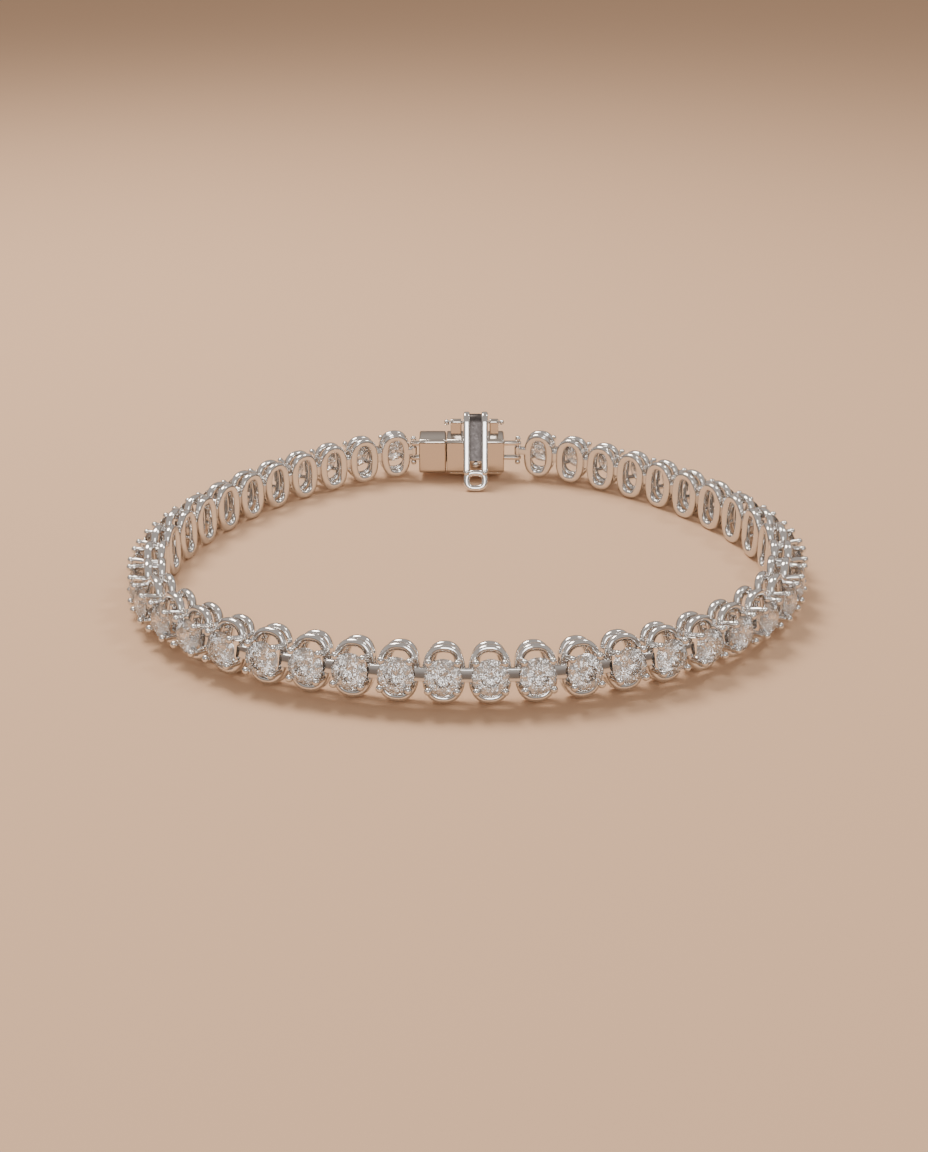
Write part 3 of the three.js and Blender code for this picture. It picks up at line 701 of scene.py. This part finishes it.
def brilliant(stones):
    """A round brilliant, its axis along y and its girdle's lower edge near y = 0.

    The crown's eight kites and the pavilion's eight mains lie in planes that slope down from the
    axis, y = (radius - across * cos(turn)) * slope. The girdle facets are the planes through
    their ends, and the girdle's edges follow them in shallow scallops.
    """
    radius = stones.across / 2
    crown = math.tan(stones.crown_angle)
    pavilion = math.tan(stones.pavilion_angle)
    half_turn = math.pi / 8
    table = stones.table * radius
    star = 0.5 * (table * math.cos(half_turn) + radius)
    lower = LOWER_HALVES * radius
    main = np.arange(8) * 2 * half_turn

    def circle(distance, turn, height):
        heights = np.full(len(turn), height)
        return np.column_stack([distance * np.cos(turn), heights, distance * np.sin(turn)])

    thick = stones.girdle
    top = circle(table, main, thick + (radius - table) * crown)
    stars = circle(star, main + half_turn, thick + (radius - star * math.cos(half_turn)) * crown)
    lowers = circle(lower, main + half_turn, -(radius - lower * math.cos(half_turn)) * pavilion)
    culet = np.array([[0.0, -radius * pavilion, 0.0]])
    girdle_turn = np.arange(GIRDLE_STEPS) * math.pi / 16

    def girdle_edge(inner, base):
        """The girdle's edge. Its even points lie at the base height and its odd ones on the girdle
        facets' planes, normal . (point - first) = 0."""
        edge = circle(radius, girdle_turn, base)
        for index in range(1, GIRDLE_STEPS, 2):
            between = index // 4
            main_index = (index + 1) // 4 % 8 if index % 4 == 3 else between
            first = circle(radius, main[[main_index]], base)[0]
            second = circle(radius, main[[between]] + half_turn, base)[0]
            normal = np.cross(second - first, inner[between] - first)
            edge[index, 1] = first[1] - (
                normal[0] * (edge[index, 0] - first[0]) + normal[2] * (edge[index, 2] - first[2])
            ) / normal[1]
        return edge

    upper_edge = girdle_edge(stars, thick)
    lower_edge = girdle_edge(lowers, 0.0)
    points = np.vstack([top, stars, upper_edge, lower_edge, lowers, culet])
    sizes = [len(group) for group in (top, stars, upper_edge, lower_edge, lowers)]
    star_at, upper_at, lower_at, halves_at, culet_at = np.cumsum(sizes).tolist()
    faces = [list(range(8))]
    for index in range(8):
        after = (index + 1) % 8
        before = (index - 1) % 8
        corner = 4 * index
        upper = [upper_at + (corner + step) % GIRDLE_STEPS for step in range(5)]
        under = [lower_at + (corner + step) % GIRDLE_STEPS for step in range(5)]
        faces.append([index, star_at + index, after])
        faces.append([index, star_at + before, upper[0], star_at + index])
        faces.append([star_at + index, *upper[:3]])
        faces.append([star_at + index, *upper[2:]])
        faces.append([culet_at, halves_at + before, under[0], halves_at + index])
        faces.append([halves_at + index, *under[:3]])
        faces.append([halves_at + index, *under[2:]])
    for index in range(GIRDLE_STEPS):
        after = (index + 1) % GIRDLE_STEPS
        faces.append([upper_at + index, upper_at + after, lower_at + after, lower_at + index])
    return points, faces


class BRACELET_OT_stones(bpy.types.Operator):
    """Cuts a brilliant for every link, each turned a little differently in its prongs"""

    bl_idname = "bracelet.stones"
    bl_label = "Stones"

    def execute(self, context):
        links = context.scene.bracelet_links
        places = link_frames(links.seat_height)
        points, faces = brilliant(context.scene.bracelet_stones)
        diamond = finish("cut_diamond", cut_diamond, grain_mm=SPARKLE_GRAIN_MM, tilt=SPARKLE_TILT)
        turns = np.random.default_rng(7).uniform(-MOST_TURN, MOST_TURN, len(places))
        for name, place, turn in zip(STONES, places, turns):
            turn_matrix = np.array([
                [math.cos(turn), 0.0, math.sin(turn)],
                [0.0, 1.0, 0.0],
                [-math.sin(turn), 0.0, math.cos(turn)],
            ])
            cut = points @ turn_matrix.T + (0.0, links.seat_height, links.stone_rise)
            stone = (placed(cut, place[None])[0], faces)
            cut_name = name.replace("stone", "brilliant")
            add_piece(cut_name, stone, diamond, "bracelet", [name], smooth_angle=0.0)
        return {"FINISHED"}


# Clasp

RAIL_RADIUS = 0.3  # the rail along the foot of the box's inner face
BARREL_INSET = 0.1  # from the box's end to the hinge pin's ball
KNUCKLE_ROOM = 0.2  # from the latch's side to a barrel


def clasp_places(clasp):
    """The clasp's planes and axes, from the hinge pin and the latch."""
    pin_low, pin_high = box_of("hinge_pin")
    latch_low, latch_high = box_of("safety_latch")
    hinge = (pin_low + pin_high) / 2
    hinge[0] = (latch_low[0] + latch_high[0]) / 2
    outer = hinge[1] + clasp.hinge_inset
    top = hinge[2] - clasp.hinge_rise
    return {
        "hinge": hinge,
        "outer": outer,
        "inner": outer - clasp.box_depth,
        "top": top,
        "bottom": top - clasp.box_height,
        "left": hinge[0] - clasp.box_length / 2,
        "right": hinge[0] + clasp.box_length / 2,
        "middle_y": outer - clasp.box_depth / 2,
        "middle_z": top - clasp.box_height / 2,
    }


def on_legs(down, away, places, latch):
    """A point (y, z) on the slanted legs: down from beside the box's inner top edge, and away
    from the legs' middle plane, off the box."""
    reach = latch.clearance + latch.leg_thickness / 2 + away
    sine, cosine = math.sin(latch.slant), math.cos(latch.slant)
    return (
        places["inner"] - reach * cosine - down * sine,
        places["top"] + reach * sine - down * cosine,
    )


def foot_reach(places, latch):
    """How far down the slanted legs the foot ends, with its rounded wire on the floor."""
    reach = latch.clearance + latch.leg_thickness / 2
    return (places["top"] + reach * math.sin(latch.slant)) / math.cos(latch.slant) - 0.02


def loft(stations, half_depth, half_height, corner, middle):
    """Rounded rectangles along x, one for each (x, inset): each is the full one moved inwards."""
    rows = []
    for x, step in stations:
        outline = rounded_rectangle(half_depth - step, half_height - step, max(corner - step, 0.04))
        rows.append(np.column_stack([np.full(len(outline), x), outline + middle]))
    return tube(np.array(rows))


def rounded_end(x, direction, edge, steps=6):
    """Stations that round an end off, from its flat face to the full section."""
    return [
        (x - direction * edge * (1 - math.sin(angle)), edge * (1 - math.cos(angle)))
        for angle in np.linspace(math.pi / 2, 0.0, steps)
    ]


def lugs(node, face, clasp):
    """Two rounded lugs that reach from the clasp's end to the end pin."""
    low, high = box_of(node)
    centre = (low + high) / 2
    half_width = clasp.lug_width / 2
    direction = 1.0 if centre[0] > face else -1.0
    turn = np.linspace(-math.pi / 2, math.pi / 2, 13)
    tip = np.column_stack([
        centre[0] + direction * half_width * np.cos(turn),
        centre[1] + half_width * np.sin(turn),
    ])
    root = face - direction * ROOT
    foot = np.array([[root, centre[1] + half_width], [root, centre[1] - half_width]])
    outline = np.vstack([tip, foot])
    if direction < 0:
        outline = outline[::-1]
    gap = clasp.eye_height / 2 + clasp.lug_clearance
    pieces = []
    for side in (-1, 1):
        ends = sorted((centre[2] + side * gap, centre[2] + side * (gap + clasp.lug_thickness)))
        pieces.append(slab(outline, ends[0], ends[1], 2, SMALL_EDGE))
    return pieces


def barrel(clasp, places, start, end):
    """A hinge barrel on a web that rises from the top of the box."""
    radius = clasp.barrel / 2
    hinge = places["hinge"]
    turn = np.linspace(0.0, math.pi, 17)
    cap = np.column_stack([hinge[1] + radius * np.cos(turn), hinge[2] + radius * np.sin(turn)])
    base = places["top"] - clasp.box_wall / 2
    foot = np.array([[hinge[1] - radius, base], [hinge[1] + radius, base]])
    return slab(np.vstack([cap, foot]), start, end, 0, 0.1)


def balled_pin(node, axis, inset, width, low_ball, high_ball):
    """A pin along an axis with a ball at each end, as long as its solid."""
    low, high = box_of(node)
    centre = (low + high) / 2
    pieces = [pin(width / 2, low[axis] + inset, high[axis] - inset, centre, axis)]
    for radius, end in ((low_ball / 2, low[axis]), (high_ball / 2, high[axis])):
        place = centre.copy()
        place[axis] = end + math.copysign(radius, centre[axis] - end)
        pieces.append(ball(radius, place))
    return joined(pieces)


class BRACELET_OT_clasp(bpy.types.Operator):
    """Makes the box, the tongue with its block, the hinge pin and the end pins"""

    bl_idname = "bracelet.clasp"
    bl_label = "Clasp"

    def execute(self, context):
        clasp = context.scene.bracelet_clasp
        latch = context.scene.bracelet_latch
        places = clasp_places(clasp)
        left, right = places["left"], places["right"]
        hinge = places["hinge"]
        middle = (places["middle_y"], places["middle_z"])
        half_depth, half_height = clasp.box_depth / 2, clasp.box_height / 2
        mouth = rounded_end(left, -1.0, SMALL_EDGE, 4)[::-1]
        cavity = [
            (left, clasp.box_wall - 0.1),
            (left + 0.1, clasp.box_wall),
            (right - clasp.box_wall, clasp.box_wall),
        ]
        stations = rounded_end(right, 1.0, clasp.box_edge) + mouth + cavity
        shell = loft(stations, half_depth, half_height, clasp.box_corner, middle)
        room = latch.width / 2 + KNUCKLE_ROOM
        down = foot_reach(places, latch) - latch.foot_length - 0.54 * latch.window
        keeper = (hinge[0], *on_legs(down, 0.0, places, latch))
        barrels_left = left + BARREL_INSET + 0.5 * clasp.hinge_ball
        barrels_right = right - BARREL_INSET - clasp.hinge_head
        rail = (0.0, places["inner"] + clasp.box_corner, places["bottom"] + 0.02)
        box = joined([
            shell,
            barrel(clasp, places, barrels_left, hinge[0] - room),
            barrel(clasp, places, hinge[0] + room, barrels_right),
            pin(RAIL_RADIUS, left + 0.25, right - 0.25, rail, 0, 0.2),
            pin(latch.keeper_stalk / 2, keeper[1], places["inner"] + ROOT, keeper, 1),
            ball(latch.keeper / 2, keeper),
            *lugs("end_pin_right", right, clasp),
        ])
        add_piece("clasp_box_polished", box, gold("clasp_gold"), "bracelet", ["clasp_box"])

        block_right = left - clasp.tongue_gap
        block_left = block_right - clasp.block_length
        right_end = rounded_end(block_right, 1.0, clasp.box_edge)
        left_end = rounded_end(block_left, -1.0, clasp.box_edge)[::-1]
        block = loft(right_end + left_end, half_depth, half_height, clasp.box_corner, middle)
        reach = block_right + clasp.tongue_length
        leaf = rounded_rectangle(clasp.tongue_thickness / 2, clasp.tongue_height / 2, 0.15, 3)
        plate = slab(leaf + middle, block_right - ROOT, reach, 0, 0.14)
        tongue = joined([block, plate, *lugs("end_pin_left", block_left, clasp)])
        add_piece("clasp_tongue_polished", tongue, gold("clasp_gold"), "bracelet", ["clasp_tongue"])

        end_pin = (2, 0.1, clasp.end_pin, clasp.end_pin_head, clasp.end_pin_head)
        for node, measures in (
            ("hinge_pin", (0, 0.2, clasp.hinge_pin, clasp.hinge_ball, clasp.hinge_head)),
            ("end_pin_right", end_pin),
            ("end_pin_left", end_pin),
        ):
            rod = balled_pin(node, *measures)
            add_piece(node + "_polished", rod, gold("link_gold"), "bracelet", [node])
        return {"FINISHED"}


STRAIGHTEN = (-2.2, -1.1, 0.0)  # where the legs meet their slanted line, down from the box's top edge
LEG_CORNER = 0.24
FOOT_HALF_THICKNESS = 0.27


class BRACELET_OT_latch(bpy.types.Operator):
    """Makes the safety latch: a knuckle, two slanted legs with a web between them, and the foot"""

    bl_idname = "bracelet.latch"
    bl_label = "Safety latch"

    def execute(self, context):
        clasp = context.scene.bracelet_clasp
        latch = context.scene.bracelet_latch
        places = clasp_places(clasp)
        hinge = places["hinge"]
        foot_down = foot_reach(places, latch)
        waist_down = foot_down - latch.foot_length + latch.foot_wire / 2
        web_down = foot_down - latch.foot_length - latch.window
        bow = [
            (hinge[1], hinge[2] + latch.knuckle / 4),
            (hinge[1] - 0.3, hinge[2] + latch.bow_rise * 0.88),
            (hinge[1] - 1.0, hinge[2] + latch.bow_rise),
        ]

        def strip(x, downs, count, section, shift):
            profile = bow + [on_legs(down, 0.0, places, latch) for down in downs]
            line = smooth_line([(x, y, z) for y, z in profile], count)
            return swept(line, section + (0.0, shift), (1.0, 0.0, 0.0))

        section = rounded_rectangle(latch.leg_width / 2, latch.leg_thickness / 2, LEG_CORNER, 5)
        reach = (latch.width - latch.leg_width) / 2
        pieces = [
            strip(hinge[0] + side * reach, (*STRAIGHTEN, web_down, waist_down), 48, section, 0.0)
            for side in (-1, 1)
        ]
        sheet = rounded_rectangle(reach, latch.web / 2, 0.1, 3)
        shift = (latch.leg_thickness - latch.web) / 2 - latch.web_recess
        web = strip(hinge[0], (*STRAIGHTEN, web_down), 40, sheet, shift)

        radius = latch.foot_wire / 2
        turn = np.linspace(0.0, 2 * np.pi, 14, endpoint=False)
        wire = np.column_stack([radius * np.cos(turn), FOOT_HALF_THICKNESS * np.sin(turn)])
        oval = superellipse(latch.width / 2 - radius, latch.foot_length / 2 - radius, 2.8, 48)
        points, faces = ring(oval, wire, 0.0)
        sine, cosine = math.sin(latch.slant), math.cos(latch.slant)
        middle_y, middle_z = on_legs(foot_down - latch.foot_length / 2, 0.0, places, latch)
        loop = np.column_stack([
            hinge[0] + points[:, 0],
            middle_y + points[:, 2] * sine + points[:, 1] * cosine,
            middle_z + points[:, 2] * cosine - points[:, 1] * sine,
        ])
        pieces.append((loop, faces))
        half = latch.width / 2
        bore = clasp.hinge_pin / 2 + PIN_ROOM
        pieces.append(bushing(bore, latch.knuckle / 2, hinge[0] - half, hinge[0] + half, hinge, 0))
        waist = on_legs(waist_down, latch.leg_thickness / 2, places, latch)
        for side in (-1, 1):
            pieces.append(ball(latch.waist_bead / 2, (hinge[0] + side * reach, *waist)))
        guard = add_piece(
            "safety_latch_polished", joined(pieces), gold("link_gold"), "latch", ["safety_latch"],
        )
        # The web takes the dark grey gold: painted shade between the legs.
        panel = add_piece("safety_latch_web", web, gold("web_gold_painted_shade"), "latch", ["safety_latch"])
        return {"FINISHED"}


# Stage

FLOOR_REACH = 3.0  # metres from the middle of the floor to its edge

# Each light's name, place and width in millimetres, power in watts and colour
LIGHTS = (
    ("window_back_left", (-120.0, 125.0, 310.0), 130.0, 1.25, "#FFF6EC"),
    ("soft_top_right", (150.0, 60.0, 260.0), 60.0, 0.2, "#FFFAF5"),
    ("window_front", (5.0, -260.0, 172.0), 100.0, 0.18, "#FFFDFC"),
)

# The surroundings' colour at heights from the horizon, 0, to straight up, 1
SKY = ((0.0, "#8A7767"), (0.2, "#8E8077"), (0.4, "#CBC2BA"), (0.8, "#BDB4AD"))
SKY_STRENGTH = 0.95


def soft_light(name, place, width, power, code):
    """A square light that faces the middle of the bracelet."""
    data = bpy.data.lights.new(name, "AREA")
    data.size = width * MM
    data.energy = power
    data.color = colour(code)[:3]
    light = bpy.data.objects.new(name, data)
    light.location = Vector(place) * MM
    aim = -Vector(place).normalized()
    light.rotation_euler = aim.to_track_quat("-Z", "Y").to_euler()
    bpy.context.scene.collection.objects.link(light)


class BRACELET_OT_stage(bpy.types.Operator):
    """Makes the paper floor, the soft lights, the surroundings and the camera"""

    bl_idname = "bracelet.stage"
    bl_label = "Stage"

    def execute(self, context):
        stage = context.scene.bracelet_stage
        camera_data = bpy.data.cameras.new("camera")
        camera_data.sensor_fit = "VERTICAL"
        camera_data.angle = stage.camera_view
        camera_data.clip_start = 1 * MM
        camera_data.clip_end = 20.0
        camera = bpy.data.objects.new("camera", camera_data)
        camera.location = Vector((stage.camera_side, -stage.camera_back, stage.camera_height)) * MM
        camera.rotation_euler = (math.pi / 2 - stage.camera_pitch, 0.0, 0.0)
        context.scene.collection.objects.link(camera)
        context.scene.camera = camera

        mesh = bpy.data.meshes.new("paper_floor")
        square = [(-1, -1), (1, -1), (1, 1), (-1, 1)]
        corners = [(x * FLOOR_REACH, y * FLOOR_REACH, 0.0) for x, y in square]
        mesh.from_pydata(corners, [], [(0, 1, 2, 3)])
        mesh.materials.append(finish("pale_paper", pale_paper, code=context.scene.bracelet_finish.paper))
        floor = bpy.data.objects.new("paper_floor", mesh)
        context.scene.collection.objects.link(floor)

        for light in LIGHTS:
            soft_light(*light)

        world = bpy.data.worlds.new("studio")
        world.use_nodes = True
        tree = world.node_tree
        tree.nodes.clear()
        place = add_node(tree, "ShaderNodeTexCoord")
        split = add_node(tree, "ShaderNodeSeparateXYZ", None, {"Vector": place.outputs["Generated"]})
        ramp = add_node(tree, "ShaderNodeValToRGB", None, {"Fac": split.outputs["Z"]})
        ramp.color_ramp.elements.new(0.3)
        ramp.color_ramp.elements.new(0.5)
        for stop, (height, code) in zip(ramp.color_ramp.elements, SKY):
            stop.position = height
            stop.color = colour(code)
        air = add_node(
            tree, "ShaderNodeBackground", None,
            {"Color": ramp.outputs["Color"], "Strength": SKY_STRENGTH},
        )
        add_node(tree, "ShaderNodeOutputWorld", None, {"Surface": air.outputs["Background"]})
        context.scene.world = world
        return {"FINISHED"}


class BRACELET_PT_panel(bpy.types.Panel):
    """Lists the bracelet's pieces"""

    bl_label = "Bracelet"
    bl_idname = "BRACELET_PT_panel"
    bl_space_type = "VIEW_3D"
    bl_region_type = "UI"
    bl_category = "Bracelet"

    def draw(self, context):
        for group, operator in (
            ("bracelet_links", "bracelet.links"),
            ("bracelet_stones", "bracelet.stones"),
            ("bracelet_clasp", "bracelet.clasp"),
            ("bracelet_latch", "bracelet.latch"),
            ("bracelet_finish", None),
            ("bracelet_stage", "bracelet.stage"),
        ):
            column = self.layout.column(align=True)
            settings = getattr(context.scene, group)
            for name in settings.__annotations__:
                column.prop(settings, name)
            if operator:
                column.operator(operator)


GROUPS = {
    "bracelet_links": LinkSettings,
    "bracelet_stones": StoneSettings,
    "bracelet_clasp": ClaspSettings,
    "bracelet_latch": LatchSettings,
    "bracelet_finish": FinishSettings,
    "bracelet_stage": StageSettings,
}
CLASSES = (
    *GROUPS.values(),
    BRACELET_OT_links,
    BRACELET_OT_stones,
    BRACELET_OT_clasp,
    BRACELET_OT_latch,
    BRACELET_OT_stage,
    BRACELET_PT_panel,
)


def register():
    for kind in CLASSES:
        bpy.utils.register_class(kind)
    for name, group in GROUPS.items():
        setattr(bpy.types.Scene, name, PointerProperty(type=group))


def unregister():
    for name in GROUPS:
        delattr(bpy.types.Scene, name)
    for kind in reversed(CLASSES):
        bpy.utils.unregister_class(kind)


def main():
    register()
    bpy.ops.bracelet.stage()
    bpy.ops.bracelet.links()
    bpy.ops.bracelet.stones()
    bpy.ops.bracelet.clasp()
    bpy.ops.bracelet.latch()
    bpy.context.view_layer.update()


if __name__ == "__main__":
    main()
